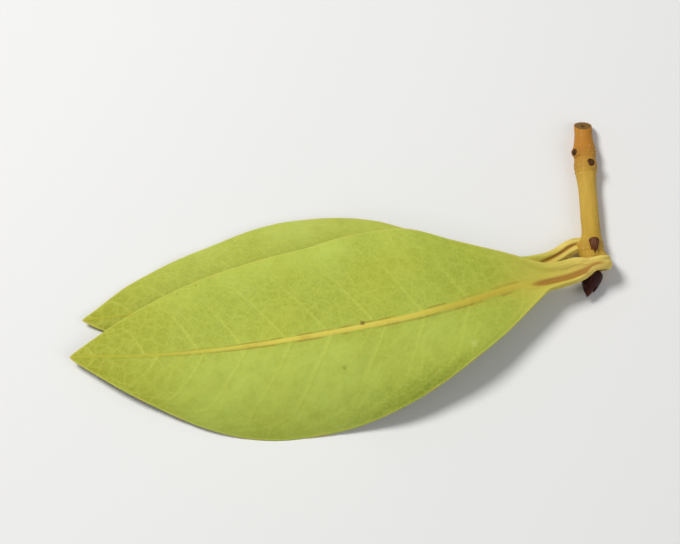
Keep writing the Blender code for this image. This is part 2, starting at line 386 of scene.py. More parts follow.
underLeaf = {
    "node": "under_leaf",
    "slot": "under_leaf_green",
    "stalk": [
        (-0.5, 1.75, 1.4), (-1.7, 1.75, 1.6), (-2.9, 1.35, 1.75), (-4.0, 0.45, 1.8),
        (-5.0, -0.15, 1.85),
    ],
    "stalkHalfWidths": (0.6, 0.7, 0.75, 0.75, 0.8, 0.95),
    "blade": [
        (-6.1, -0.7, 1.9), (-12.2, -2.7, 2.1), (-24.8, -4.9, 2.3), (-38.5, -5.4, 2.0),
        (-47.9, -6.2, 1.4), (-57.4, -7.2, 0.8), (-65.4, -8.4, 0.36),
    ],
    "farWidths": (0.9, 2.4, 6.6, 10.4, 10.5, 8.9, 6.6, 3.7, 0.0),
    "nearWidths": (0.9, 3.4, 7.2, 9.4, 9.6, 8.6, 6.5, 3.6, 0.0),
    "farDroop": 1.1,
    "nearDroop": 1.2,
    "droopStart": 0.0,
    "droopEnd": 0.3,
    "wave": 0.3,
    "waves": 6.5,
    "waveShift": (2.4, 0.3),
    "channel": 0.3,
    "tipLift": 0.7,
    "stalkShare": 0.1,
    "spots": [],
    "rows": 340,
    "columns": 113,
    "seed": 11,
    "grooveShift": 0.0,
    "grooveStart": 0.01,
    "grooveWidth": 0.25,
    "veinChanges": {"Ridge Gap": 0.4, "Groove Depth": 0.18},
}
bladeForm = {
    "pathSteps": 1201,
    "veinSweep": 0.15,  # how far a side vein runs on towards the tip, as a share of the blade
    "sweepPower": 1.1,
    "droopPower": 1.8,
    "wavePower": 3,  # above 1 keeps the waves to the edge
    "slowWaves": 0.8,  # along the blade, in the height of the others
    "slowShare": 0.4,
    "bunching": 0.3,  # of the columns, towards the midrib and the edge
    "edgeRoll": 0.2,  # how far the edge turns down
    "rollWidth": 0.8,
    "tipThinning": 3.5,  # how long the thin tip is
    "tipThickness": 0.3,  # as a share of the blade's
    "tipStart": 0.88,  # share of the blade where its tip starts to lift
    "joinShare": 0.06,  # of the length, where the stalk widens into the blade
    "kinkMend": 0.035,  # share of the length over which bends in the path are softened
    # shares of the blade over which these fade out, and of the length for the groove's start
    "stalkFade": 0.15,
    "grooveTurn": 0.08,
    "grooveFade": 0.06,
    "grooveRise": 0.03,
}


def leafSheet(leaf):
    # the leaf's middle surface, as a sheet with no thickness
    form = bladeForm
    start = leaf["stalkShare"]
    fine = np.linspace(0, 1, form["pathSteps"])
    stalkPath = smoothPath([*leaf["stalk"], leaf["blade"][0]], fine / start)
    bladePath = smoothPath(leaf["blade"], (fine - start) / (1 - start))
    path = np.where((fine < start)[:, None], stalkPath, bladePath)
    stalkWidth = smoothPath(leaf["stalkHalfWidths"], fine / start)
    window = int(form["kinkMend"] * len(fine)) | 1
    path = soften(path, window)
    length = np.concatenate([[0], np.cumsum(np.linalg.norm(np.diff(path, axis=0), axis=1))])
    heading = np.gradient(path, axis=0)
    heading /= np.linalg.norm(heading, axis=1)[:, None]
    sideways = np.cross(heading, (0, 0, 1))
    # the stalk turns with no twist, from the blade back to its foot
    for i in range(int(start * len(fine)), -1, -1):
        sideways[i] = sideways[i + 1] - heading[i] * (sideways[i + 1] @ heading[i])
    sideways /= np.linalg.norm(sideways, axis=1)[:, None]

    even = np.linspace(-1, 1, leaf["columns"])
    spread = even - form["bunching"] * np.sin(2 * np.pi * even) / (2 * np.pi)
    row, across = np.meshgrid(np.linspace(0, 1, leaf["rows"]), spread, indexing="ij")
    side = np.where(across > 0, 1, -1)
    steady = np.clip((row - start) / (1 - start), 0, 1)
    sweep = form["veinSweep"] * np.sin(np.pi * steady) * np.abs(across) ** form["sweepPower"]
    blade = steady + sweep
    place = np.where(row < start, row, start + (1 - start) * blade)

    def lookUp(values):
        return np.stack([np.interp(place, fine, column) for column in values.T], -1)

    edges = []
    for widths in (leaf["farWidths"], leaf["nearWidths"]):
        bladeWidth = smoothPath(widths, (fine - start) / (1 - start))
        width = np.where((fine < start)[:, None], stalkWidth, bladeWidth)
        join = smoothStep(np.abs(fine - start) / form["joinShare"])[:, None]
        edges.append(lookUp(join * width + (1 - join) * soften(width, window // 2 | 1))[..., 0])
    edge = np.where(side > 0, edges[0], edges[1])
    offset = across * edge
    reach = np.abs(offset) / np.where(side > 0, max(leaf["farWidths"]), max(leaf["nearWidths"]))
    droop = np.where(side > 0, leaf["farDroop"], leaf["nearDroop"])
    spanned = (blade - leaf["droopStart"]) / (leaf["droopEnd"] - leaf["droopStart"])
    hang = droop * smoothStep(spanned) * reach ** form["droopPower"]
    shift = np.where(side > 0, *leaf["waveShift"])
    fade = np.sqrt(np.sin(np.pi * np.clip(blade, 0, 1)))
    slow = 1 - form["slowShare"] * (1 - np.sin(2 * np.pi * form["slowWaves"] * blade + shift))
    wave = leaf["wave"] * fade * slow * np.sin(2 * np.pi * leaf["waves"] * blade + shift)
    stalkness = 1 - smoothStep(blade / form["stalkFade"])
    lift = leaf["channel"] * stalkness * across**2 + wave * np.abs(across) ** form["wavePower"] - hang
    rolled = bump(edge - np.abs(offset), form["rollWidth"]) - bump(edge, form["rollWidth"])
    lift -= form["edgeRoll"] * rolled * (1 - stalkness)
    lift += leaf["tipLift"] * smoothStep((blade - form["tipStart"]) / (1 - form["tipStart"])) ** 2
    right = lookUp(sideways)
    raised = np.cross(right, lookUp(heading))
    places = lookUp(path) + right * offset[..., None] + raised * lift[..., None]
    along = np.interp(place, fine, length)
    ends = np.minimum(along, length[-1] - along)
    nearest = np.minimum(edge - np.abs(offset), ends)
    # the stalk's groove lies to one side, and becomes the line of the midrib
    ribGap = np.abs(offset + leaf["grooveShift"] * (1 - smoothStep(blade / form["grooveTurn"])))
    grooveShown = smoothStep((row - leaf["grooveStart"]) / form["grooveRise"])
    grooveShown *= 1 - smoothStep(blade / form["grooveFade"])
    tipGap = smoothStep((length[-1] - along) / form["tipThinning"])
    zero = np.zeros_like(row)
    return gridMesh(leaf["node"], places, {
        "along": np.where(row < start, (row - start) / start, blade),
        "ribGap": ribGap,
        "groove": bump(ribGap, leaf["grooveWidth"]) * grooveShown,
        "farGap": edges[0] - offset,
        "edgeGap": np.maximum(nearest, 0),
        "slim": form["tipThickness"] + (1 - form["tipThickness"]) * tipGap,
        "flat": np.stack([along, offset, zero], -1),
        "leafUv": np.stack([row, (across + 1) / 2, zero], -1),
    })


veinInputs = {
    "Stalk Share": 0.13,
    "Side Veins": 10,
    "Vein Unevenness": 0.012,
    "Vein Reach": 0.95,
    "Loop Start": 0.7,
    "Vein Width": 0.17,
    "Vein Height": 0.05,
    "Rib Width": 0.5,
    "Rib Height": 0.13,
    "Rib Depth": 0.5,
    "Stalk Depth": 0.75,
    "Ridge Gap": 0.6,
    "Ridge Height": 0.25,
    "Groove Depth": 0.26,
    "Thickness": 0.34,
    "Edge Bead": 0.03,
    "Net Size": 1.5,
    "Net Height": 0.026,
    "Quilting": 0.08,
    "Cockle": 0.17,
    "Stalk Wrinkle": 0.1,
    "Seed": 1,
    "Material": None,
}
veinForm = {
    "pointsPerVein": 36,
    "staggering": 0.7,  # of the left veins against the right
    "loopLength": 1.15,  # as a share of the way to the next vein
    "thinning": 0.7,  # from the midrib out
    "ribThinning": 0.72,  # from the base to the tip
    "netWander": (2.5, 1.2),  # how the net's lines stray: over what length, and how far
    "cockleSize": 7.0,  # millimetres from one slow swell to the next
    "bellyWidth": 1.3,  # of the stalk, below
    "ridgeWidth": 0.5,  # of the stalk's two edges
    "ribBelowWidth": 1.25,  # as a share of the midrib's width above
    "beadPlace": 0.16,  # from the edge
    "edgeRadius": 0.17,
}


def named(graph, label, kind="FLOAT"):
    return graph.add("GeometryNodeInputNamedAttribute", {"data_type": kind}, {"Name": label})


def keep(graph, geometry, **marks):
    # stores values on the points of a mesh, under their names
    for label, value in marks.items():
        settings = {"data_type": "FLOAT_VECTOR" if isVector(value) else "FLOAT", "domain": "POINT"}
        inputs = {"Geometry": geometry, "Name": label, "Value": value}
        geometry = graph.add("GeometryNodeStoreNamedAttribute", settings, inputs)
    return geometry


def veinLines(graph, given):
    # lines along the side veins: each leaves the midrib, and near the edge loops on to the next
    index = graph.add("GeometryNodeInputIndex")
    starts = graph.line(given["Side Veins"] * 2)
    side = graph.fn("MODULO", index, 2) * 2 - 1
    number = graph.fn("FLOOR", index / 2)
    uneven = graph.random(-1.0, 1.0, given["Seed"]) + side * veinForm["staggering"]
    start = (number + 0.5) / given["Side Veins"] + uneven * given["Vein Unevenness"]
    starts = keep(graph, starts, veinStart=start, veinSide=side)
    line = graph.line(veinForm["pointsPerVein"])
    line = keep(graph, line, veinShare=index / (veinForm["pointsPerVein"] - 1))
    lines = graph.copies(starts, line)
    share = named(graph, "veinShare")
    across = share * given["Vein Reach"]
    past = graph.fn("MAXIMUM", across - given["Loop Start"], 0) / (given["Vein Reach"] - given["Loop Start"])
    along = named(graph, "veinStart") + past * past * veinForm["loopLength"] / given["Side Veins"]
    along = graph.fn("MINIMUM", along, 1)
    uvAlong = given["Stalk Share"] + (1 - given["Stalk Share"]) * along
    uv = graph.vector(uvAlong, (named(graph, "veinSide") * across + 1) / 2, 0)
    spot = graph.add(
        "GeometryNodeSampleUVSurface",
        {"data_type": "FLOAT_VECTOR"},
        {
            "Mesh": given["Geometry"],
            "Value": graph.add("GeometryNodeInputPosition"),
            "UV Map": named(graph, "leafUv", "FLOAT_VECTOR"),
            "Sample UV": uv,
        },
    )
    return graph.move(lines, Position=spot)


def leafTree():
    # gives the sheet its two faces, with all that stands out of them
    form = veinForm
    graph, given = geometryTree("leafVeins", veinInputs)
    position = graph.add("GeometryNodeInputPosition")
    along, ribGap, edgeGap = (named(graph, label) for label in ("along", "ribGap", "edgeGap"))
    flat = named(graph, "flat", "FLOAT_VECTOR")
    seedShift = graph.vector(given["Seed"] * 17.0, given["Seed"] * 5.0, 0.0)

    lines = veinLines(graph, given)
    asked = {"Geometry": lines, "Sample Position": position}
    gap = graph.add("GeometryNodeProximity", {"target_element": "EDGES"}, asked, "Distance")
    nearest = graph.add("GeometryNodeSampleNearest", None, asked)
    share = graph.add(
        "GeometryNodeSampleIndex",
        {"data_type": "FLOAT"},
        {"Geometry": lines, "Value": named(graph, "veinShare"), "Index": nearest},
    )
    onBlade = graph.step(along, -0.02, 0.06)
    fade = (1 - share * form["thinning"]) * onBlade
    vein = graph.bell(gap, given["Vein Width"] * (0.4 + fade * 0.6)) * fade

    slender = 1 - graph.fn("MAXIMUM", along, 0) * form["ribThinning"]
    stalk = 1 - graph.step(along, -0.05, 0.12)
    rib = graph.bell(ribGap, given["Rib Width"] * slender)

    strayLength, stray = form["netWander"]
    wander = graph.noise(flat + seedShift, strayLength, 2, "Color") - (0.5, 0.5, 0.5)
    netPlace = (flat + wander * stray) / graph.vector(given["Net Size"], given["Net Size"], 1.0)
    netGap = graph.cells("DISTANCE_TO_EDGE", netPlace, 1.0)
    net = (1 - graph.step(netGap, 0.02, 0.16)) * onBlade * (1 - rib)

    bulge = graph.step(gap, 0.1, 2.2) * graph.step(ribGap, 0.3, 2.5) * graph.step(edgeGap, 0.2, 2.0)
    swell = graph.noise(flat + seedShift, form["cockleSize"], 2) - 0.5
    raised = given["Quilting"] * bulge * onBlade + given["Cockle"] * swell * 2 * onBlade

    bead = graph.bell(edgeGap - form["beadPlace"], form["beadPlace"])
    half = given["Thickness"] / 2 + given["Edge Bead"] * bead * onBlade
    veinRise = vein * given["Vein Height"]
    netRise = net * given["Net Height"]
    farGap = named(graph, "farGap")
    ridge = stalk * given["Ridge Height"] * graph.bell(farGap - given["Ridge Gap"], form["ridgeWidth"])
    above = half + veinRise + netRise + rib * given["Rib Height"] * slender * (1 - stalk)
    above = above + ridge - named(graph, "groove") * given["Groove Depth"]
    belly = stalk * given["Stalk Depth"] * graph.bell(ribGap, form["bellyWidth"])
    ribBelow = given["Rib Width"] * slender * form["ribBelowWidth"]
    ribBelow = given["Rib Depth"] * slender * graph.bell(ribGap, ribBelow)
    below = half + veinRise * 1.5 + netRise + graph.fn("MAXIMUM", belly, ribBelow)
    creases = graph.noise(graph.stretched(flat, 0.2, 1.0, 1.0) + seedShift, 0.3, 3) - 0.5
    creases = creases * stalk * given["Stalk Wrinkle"]
    above, below = above + creases, below + creases

    turned = graph.fn("MINIMUM", edgeGap / form["edgeRadius"], 1)
    fullness = graph.fn("SQRT", turned * (2 - turned)) * named(graph, "slim")
    normal = graph.add("GeometryNodeInputNormal")
    sheet = keep(graph, given["Geometry"], vein=vein, rib=rib, net=net, stalk=stalk, facing=normal)
    facing = named(graph, "facing", "FLOAT_VECTOR")
    top = keep(graph, sheet, underside=0.0)
    top = graph.move(top, Offset=facing * (raised + above * fullness))
    bottom = keep(graph, sheet, underside=1.0)
    bottom = graph.flip(graph.move(bottom, Offset=facing * (raised - below * fullness)))
    endTree(graph, closeUp(graph, top, bottom), given["Material"])
    return graph


leafLook = {
    # sizes of the patterns in millimetres, and cells to a millimetre
    "cloudSize": 14.0,
    "patchSize": 9.0,
    "dullSize": 10.0,
    "mottleSize": 1.7,
    "gritSize": 0.35,
    "grainSize": 0.12,
    "driedSize": 3.0,
    "netCells": 1.7,
    "speckCells": 0.3,
    # width of the band of painted sheen along the far edge
    "farSheenWidth": 3.2,
    # width of the band of painted shade along the near edge
    "nearShadeWidth": 3.0,
    # how strongly each colour shows, from 0 to 1
    "yellowing": 0.6,
    "dulling": 0.6,
    "mottling": 0.28,
    "gritShown": 0.4,
    "endsShown": 0.85,
    "netShown": 0.26,
    "veinsShown": 0.42,
    "borderShown": 0.65,
    "marginShown": 0.55,
    "undersideShown": 0.45,
    "gloss": 0.16,
    "roughness": 0.52,
    "relief": (0.6, 0.00005),
}


def leafPaint(name, colours, spots):
    look = leafLook
    material, shader, graph = startSkin(name)
    flat = graph.read("flat", "Vector")
    labels = ("vein", "rib", "net", "along", "edgeGap", "underside", "stalk", "groove", "ribGap")
    vein, rib, net, along, edgeGap, underside, stalk, groove, ribGap = map(graph.read, labels)
    clouds = graph.noise(flat, look["cloudSize"], 2)
    patches = graph.noise(flat + (30.0, 0.0, 0.0), look["patchSize"], 2)
    mottle = graph.noise(flat, look["mottleSize"], 6)
    _, offset, _ = graph.split(flat)
    # painted sheen: the near half is painted paler and greyer, with less yellow and less dark, and so is a
    # band along the far edge; the grey clouds are random tone
    nearSide = graph.step(offset * -1, -2.0, 3.0)
    farEdgeSheen = graph.bell(edgeGap, look["farSheenWidth"]) * graph.step(offset, 3.0, 8.0)
    cloudsAndSheen = graph.clamp(graph.step(clouds, 0.32, 0.68) * 0.45 + nearSide * 0.6 + farEdgeSheen * 0.9)
    dull = graph.noise(flat + (0.0, 50.0, 0.0), look["dullSize"], 1)
    # painted shade: a darker band along the near edge, strongest towards the base, where the edge turns down
    # away from the light; the net is painted fainter inside it
    nearShadeBand = graph.bell(edgeGap, look["nearShadeWidth"]) * graph.step(offset * -1, 4.0, 8.5)
    baseward = 1 - graph.step(along, 0.3, 0.55)
    colour = graph.layers(
        colours["body"],
        colours,
        bodyGrey=cloudsAndSheen,
        bodyYellow=graph.step(patches, 0.32, 0.74) * (look["yellowing"] - nearSide * 0.35),
        bodyDark=graph.step(dull, 0.34, 0.72) * (look["dulling"] - nearSide * 0.45),
        blotch=graph.step(mottle, 0.4, 0.72) * look["mottling"],
        edgeDark=nearShadeBand * (0.2 + baseward * 0.7),
    )

    grit = graph.noise(flat, look["gritSize"], 2)
    wander = graph.noise(flat, 0.8, 2, "Color") - (0.5, 0.5, 0.5)
    cellGap = graph.cells("DISTANCE_TO_EDGE", flat + wander * 0.5, look["netCells"])
    fineNet = (1 - graph.step(cellGap, 0.0, 0.14)) * (1 - stalk)
    # a thin brown line follows the midrib in broken lengths
    ribNoise = graph.noise(graph.stretched(flat, 0.5, 1.2, 1.0) + (0.0, 0.0, 9.0), 1.4, 4)
    border = graph.bell(rib - 0.25, 0.24) * graph.step(rib, 0.01, 0.14) * graph.step(ribNoise, 0.36, 0.58)
    colour = graph.layers(
        colour,
        colours,
        bodyGrey=graph.step(grit, 0.4, 0.75) * look["gritShown"],
        base=(1 - graph.step(along, 0.0, 0.3)) * look["endsShown"],
        tip=graph.step(along, 0.7, 0.98) * look["endsShown"],
        net=(fineNet + net) * look["netShown"] * (1 - nearShadeBand * 0.6),
        vein=vein * look["veinsShown"],
        ribBase=graph.bell(ribGap, 1.4) * (1 - graph.step(along, 0.02, 0.24)) * 0.5,
        ribBorder=border * (1 - graph.step(along, 0.6, 0.95)) * look["borderShown"],
    )

    strands = graph.noise(graph.stretched(flat, 0.12, 4.0, 1.0), 0.7, 3)
    ribColour = graph.layers(
        colours["ribBase"],
        colours,
        ribMiddle=graph.step(along, 0.1, 0.35),
        ribTip=graph.step(along, 0.5, 0.95),
        ribStrand=graph.step(strands, 0.45, 0.75) * 0.45,
    )
    ribColour = graph.blend(graph.step(ribNoise, 0.52, 0.72) * 0.5, ribColour, colours["ribStrand"])
    colour = graph.blend(graph.step(rib, 0.3, 0.75), colour, ribColour)
    dried = graph.step(graph.noise(flat, look["driedSize"], 3), 0.46, 0.66) * 0.5
    dried = dried + graph.step(along, 0.965, 1.0) * 0.4
    colour = graph.layers(
        colour,
        colours,
        margin=(1 - graph.step(edgeGap, 0.14, 0.36)) * look["marginShown"],
        dry=(1 - graph.step(edgeGap, 0.12, 0.3 + dried * 0.4)) * dried,
    )

    stalkShade = graph.noise(graph.stretched(flat, 0.25, 1.5, 1.0), 0.6, 4)
    fibres = graph.noise(graph.stretched(flat, 0.12, 2.0, 1.0), 0.25, 4)
    stalkColour = graph.layers(
        colours["stalk"],
        colours,
        stalkDull=graph.step(stalkShade, 0.35, 0.7),
        stalkStreak=graph.step(fibres, 0.5, 0.7) * 0.4,
        stalkBlade=graph.step(along, -0.45, 0.02),
    )
    specks = graph.cells("F1", flat, look["speckCells"])
    chosen, size, _ = graph.split(specks.also("Color"))
    ragged = specks + (mottle - 0.5) * 0.1
    speck = (1 - graph.step(ragged / (size + 0.4), 0.02, 0.07)) * graph.step(chosen, 0.55, 0.6)
    # the stalk's groove is painted brown: partly its own colour and partly painted shade in the hollow
    colour = graph.layers(
        graph.blend(stalk * 0.95, colour, stalkColour),
        colours,
        stalkGroove=graph.step(groove, 0.2, 0.75) * (1 - underside) * 0.9,
        under=underside * (1 - stalk) * (1 - rib * 0.7) * look["undersideShown"],
        speck=speck * 0.5,
    )
    for spot in spots:
        away = graph.direction("DISTANCE", flat, (*spot["at"], 0.0)).also("Value")
        ragged = away + (mottle - 0.5) * spot["size"] * 1.6 + (grit - 0.5) * 0.3
        inside = 1 - graph.step(ragged, spot["size"] * 0.15, spot["size"] * 0.7)
        colour = graph.blend(inside * 0.8, colour, spot["colour"])
    roughness = look["roughness"] + mottle * 0.18 + fineNet * 0.08
    grain = graph.noise(flat, look["grainSize"], 3)
    height = fineNet * 0.22 + grain * 0.25 + fibres * (stalk + rib * 0.5) * 0.8
    graph.finish(shader, colour, roughness, look["gloss"], height, look["relief"])
    return material


leafColours = palette(
    # bodyGrey serves both random grey tone and painted sheen
    body=(162, 173, 60), bodyGrey=(185, 201, 89), bodyYellow=(175, 178, 48),
    # edgeDark is the colour of the painted shade along the near edge
    bodyDark=(156, 167, 58), edgeDark=(134, 146, 42), base=(153, 165, 52),
    tip=(158, 158, 40), blotch=(152, 158, 42), net=(190, 198, 78),
    vein=(204, 208, 88), ribBase=(190, 174, 60), ribMiddle=(218, 202, 84),
    ribTip=(176, 176, 54), ribStrand=(190, 160, 56), ribBorder=(156, 126, 44),
    margin=(208, 208, 96), dry=(202, 180, 88), stalk=(232, 208, 106),
    stalkDull=(214, 184, 90), stalkStreak=(184, 150, 70), stalkBlade=(206, 190, 82),
    stalkGroove=(160, 112, 44), under=(176, 186, 98), speck=(112, 118, 40),
)


def growLeaf(leaf, tree, colours):
    sheet = bpy.data.objects.new(leaf["node"], leafSheet(leaf))
    material = leafPaint(leaf["node"] + "Skin", colours, leaf["spots"])
    values = {"Stalk Share": leaf["stalkShare"], "Seed": leaf["seed"], "Material": material}
    mesh = growThrough(sheet, tree, {**values, **leaf["veinChanges"]})
    addPiece("fine_" + leaf["node"], mesh, [leaf["node"]])


leafVeins = leafTree()
growLeaf(frontLeaf, leafVeins, leafColours)
palerBody = palette(body=(176, 186, 74), bodyGrey=(190, 201, 98), bodyDark=(162, 171, 60))
growLeaf(underLeaf, leafVeins, {**leafColours, **palerBody})


# Shares of the twig's length run from its growing end, at its foot, to its cut end.
# A growth's turn is its angle round the twig from the top, towards the right.

twig = {
    "axis": [(-0.08, -1.6), (-0.06, 2.5), (-0.24, 6.6), (-0.45, 10.8), (-0.6, 14.9), (-0.68, 19.0)],
    "height": 1.42,
    "length": 20.7,
    "nodes": (0.05, 0.135, 0.68, 0.775),
    "growths": [
        {"at": 0.68, "turn": 20, "length": 1.9, "width": 1.5, "height": 0.5, "scarred": 1},
        {"at": 0.773, "turn": -56, "length": 1.9, "width": 1.5, "height": 0.5, "scarred": 1},
        {"at": 0.145, "turn": 8, "length": 2.6, "width": 1.7, "height": 0.12, "scarred": 0},
        {"at": 0.055, "turn": 80, "length": 2.4, "width": 2.3, "height": 0.8, "scarred": 0},
        {"at": 0.14, "turn": -84, "length": 2.8, "width": 2.1, "height": 0.55, "scarred": 0},
    ],
}
twigInputs = {
    "Rows": 300,
    "Sides": 73,
    "Foot Share": 0.06,  # of the rows, in the dome at the foot
    "Cut Share": 0.09,  # of the rows, across the cut
    "Cut Place": 0.955,
    "Cut Slope": 0.85,
    "Length": twig["length"],
    "Radius": 1.22,
    "End Radius": 1.15,
    "Node Swelling": 0.3,
    "Node Reach": 1.4,
    "Foot Dome": 0.3,
    "Wrinkle Depth": 0.05,
    "Unevenness": 0.09,
    "Pore Density": 0.5,
    "Pore Size": 0.055,
    "Seed": 3,
    "Material": None,
}
leafScar = {
    "pitDepth": 0.16,
    "rimPlace": 0.76,  # as a share of the scar's half length
    "rimWidth": 0.14,
    "rimHeight": 0.09,
    "strandPlaces": (-0.27, 0.0, 0.27),
    "strandWidth": 0.1,
    "strandHeight": 0.07,
}
barkForm = {
    "wrinkleSize": 0.16,
    "lumpSize": 1.1,
    "ringTurns": 11.0,  # in radians to a millimetre
    "ringHeight": 0.012,
    "pithWidth": 0.26,
    "pithDepth": 0.22,
    "tornDepth": 0.16,
    "poreSizes": (0.6, 1.3),
    "poreShape": (1.0, 2.0, 0.6),
}


def twigTree():
    form = barkForm
    graph, given = geometryTree("twigBark", twigInputs)
    grid = graph.grid(given["Rows"], given["Sides"])
    down, around, _ = graph.split(grid.also("UV Map"))
    turn = around * (2 * math.pi)
    foot = graph.clamp(down / given["Foot Share"])
    side = graph.clamp((down - given["Foot Share"]) / (1 - given["Foot Share"] - given["Cut Share"]))
    cut = graph.clamp((down - 1) / given["Cut Share"] + 1)
    share = side * given["Cut Place"]
    spot = graph.add(
        "GeometryNodeSampleCurve",
        {"mode": "FACTOR", "use_all_curves": True, "data_type": "FLOAT"},
        {"Curves": given["Geometry"], "Factor": share},
    )
    tangent = spot.also("Tangent")
    upward = graph.vector(0.0, 0.0, 1.0)
    right = graph.direction("NORMALIZE", graph.direction("CROSS_PRODUCT", tangent, upward))
    sine, cosine = graph.fn("SINE", turn), graph.fn("COSINE", turn)
    outward = right * sine + upward * cosine

    scar = 0.0
    swelling = 0.0
    for node in twig["nodes"]:
        near = graph.bell((share - node) * given["Length"], given["Node Reach"])
        swelling = graph.fn("MAXIMUM", swelling, near)
    radius = graph.mix(share, given["Radius"], given["End Radius"]) + swelling * given["Node Swelling"]
    bumps = 0.0
    for growth in twig["growths"]:
        arc = graph.fn("ARCCOSINE", graph.fn("COSINE", turn - math.radians(growth["turn"])) * 0.9999)
        ahead = (share - growth["at"]) * given["Length"] / (growth["length"] / 2)
        about = arc * radius / (growth["width"] / 2)
        gap = graph.fn("SQRT", ahead * ahead + about * about)
        bumps = bumps + (1 - graph.step(gap, 0.1, 1.3)) * growth["height"]
        if growth["scarred"]:
            # a shield-shaped pit in a raised rim, with the ends of three strands in it
            narrowing = graph.fn("MAXIMUM", 1.25 - ahead * 0.7, 0.5)
            shield = graph.fn("SQRT", ahead * ahead + about * about * narrowing)
            pit = 1 - graph.step(shield, 0.5, 0.7)
            aside = graph.fn("SINE", turn - math.radians(growth["turn"])) * radius / (growth["width"] / 2)
            strands = 0.0
            for place in leafScar["strandPlaces"]:
                dot = ahead - abs(place) * 0.4 + 0.05
                dot = graph.fn("SQRT", dot * dot + (aside - place) ** 2)
                strands = strands + graph.bell(dot, leafScar["strandWidth"])
            rim = graph.bell(shield - leafScar["rimPlace"], leafScar["rimWidth"])
            bumps = bumps - pit * leafScar["pitDepth"] + rim * leafScar["rimHeight"]
            bumps = bumps + strands * pit * leafScar["strandHeight"]
            scar = scar + pit - strands * pit * 0.45

    seedShift = graph.vector(given["Seed"] * 3.1, 0.0, 0.0)
    grain = graph.vector(sine * 1.25, cosine * 1.25, share * given["Length"] * 0.11) + seedShift
    wrinkles = graph.noise(grain, form["wrinkleSize"], 2) - 0.5
    lumps = graph.vector(sine, cosine, share * given["Length"] * 0.5) + seedShift
    lumps = graph.noise(lumps, form["lumpSize"], 2) - 0.5
    ring = graph.fn("SINE", share * given["Length"] * form["ringTurns"])
    nearNode = swelling * (1 - scar)
    skin = wrinkles * given["Wrinkle Depth"] * (0.6 + nearNode * 0.9) + lumps * given["Unevenness"]
    skin = skin + ring * nearNode * form["ringHeight"]
    radius = (radius + bumps + skin * 2) * graph.fn("SINE", foot * (math.pi / 2)) * (1 - cut)
    slope = given["Cut Slope"] * graph.step(side, 0.7, 1.0) * -1
    torn = graph.noise(graph.vector(sine * (1 - cut) * 3.0, cosine * (1 - cut) * 3.0, 4.0), 0.5, 3) - 0.5
    pith = graph.bell(1 - cut, form["pithWidth"]) * -form["pithDepth"]
    face = graph.step(side, 0.97, 1.0)
    shift = slope * cosine * radius + (pith + torn * form["tornDepth"]) * face
    shift = shift - given["Foot Dome"] * graph.fn("COSINE", foot * (math.pi / 2))
    place = spot.also("Position") + outward * radius + tangent * shift
    solid = graph.flip(graph.move(grid, Position=place))
    wood = graph.step(cut, 0.02, 0.1)
    solid = keep(graph, solid, share=share, scar=scar, wood=wood, cut=cut, swelling=swelling, grain=grain)

    free = (1 - named(graph, "wood")) * (1 - named(graph, "scar"))
    points = graph.add(
        "GeometryNodeDistributePointsOnFaces",
        None,
        {"Mesh": solid, "Density": given["Pore Density"] * free, "Seed": given["Seed"]},
    )
    pore = graph.add("GeometryNodeMeshIcoSphere", None, {"Radius": 1.0, "Subdivisions": 2})
    tall = graph.random(*form["poreSizes"], given["Seed"]) * given["Pore Size"]
    size = graph.vector(*(tall * share for share in form["poreShape"]))
    pores = keep(graph, graph.copies(points, pore, Scale=size), pore=1.0)
    endTree(graph, closeUp(graph, solid, pores), given["Material"])
    return graph


barkColours = palette(
    foot=(188, 150, 46), middle=(200, 161, 64), cutEnd=(188, 126, 42),
    streak=(158, 110, 30), pale=(216, 182, 76), node=(168, 118, 48),
    pore=(222, 196, 128), scar=(98, 60, 18), scarDark=(64, 36, 10),
    wood=(138, 100, 34), woodDark=(110, 76, 22), pith=(84, 54, 22),
)


def barkPaint(colours):
    material, shader, graph = startSkin("barkSkin")
    grain = graph.read("grain", "Vector")
    share, scar, wood, cut = map(graph.read, ("share", "scar", "wood", "cut"))
    streaks = graph.noise(grain, 0.09, 4)
    patches = graph.noise(grain, 0.7, 3)
    colour = graph.layers(
        colours["foot"],
        colours,
        middle=graph.step(share, 0.0, 0.5),
        cutEnd=graph.step(share, 0.54, 0.84),
        streak=graph.step(streaks, 0.5, 0.75) * 0.35,
        pale=graph.step(patches, 0.45, 0.7) * 0.35,
        node=graph.step(graph.read("swelling"), 0.4, 1.0) * 0.3,
        pore=graph.read("pore") * 0.7,
    )
    scarColour = graph.blend(graph.step(streaks, 0.4, 0.6), colours["scar"], colours["scarDark"])
    colour = graph.blend(graph.step(scar, 0.1, 0.7), colour, scarColour)
    rings = graph.noise(graph.vector(cut * 5.0, 0.0, 0.0), 0.4, 2)
    woodColour = graph.blend(graph.step(rings, 0.4, 0.6), colours["wood"], colours["woodDark"])
    woodColour = graph.blend(graph.step(cut, 0.7, 0.82), woodColour, colours["pith"])
    colour = graph.blend(wood, colour, woodColour)
    graph.finish(shader, colour, 0.55 + streaks * 0.25, 0.2, streaks, (0.5, 0.00005))
    return material


def growTwig():
    axis = smoothPath(twig["axis"], np.linspace(0, 1, 60))
    curve = bpy.data.curves.new("twigAxis", "CURVE")
    curve.dimensions = "3D"
    spline = curve.splines.new("POLY")
    spline.points.add(len(axis) - 1)
    for point, (x, y) in zip(spline.points, axis):
        point.co = (x, y, twig["height"], 1)
    line = bpy.data.objects.new("twigAxis", curve)
    mesh = growThrough(line, twigTree(), {"Material": barkPaint(barkColours)})
    addPiece("fine_twig", mesh, ["twig"])


growTwig()


# Scales lie in a spiral over a core, the outermost the shortest.
# A bud's base and heading are in the shared frame.

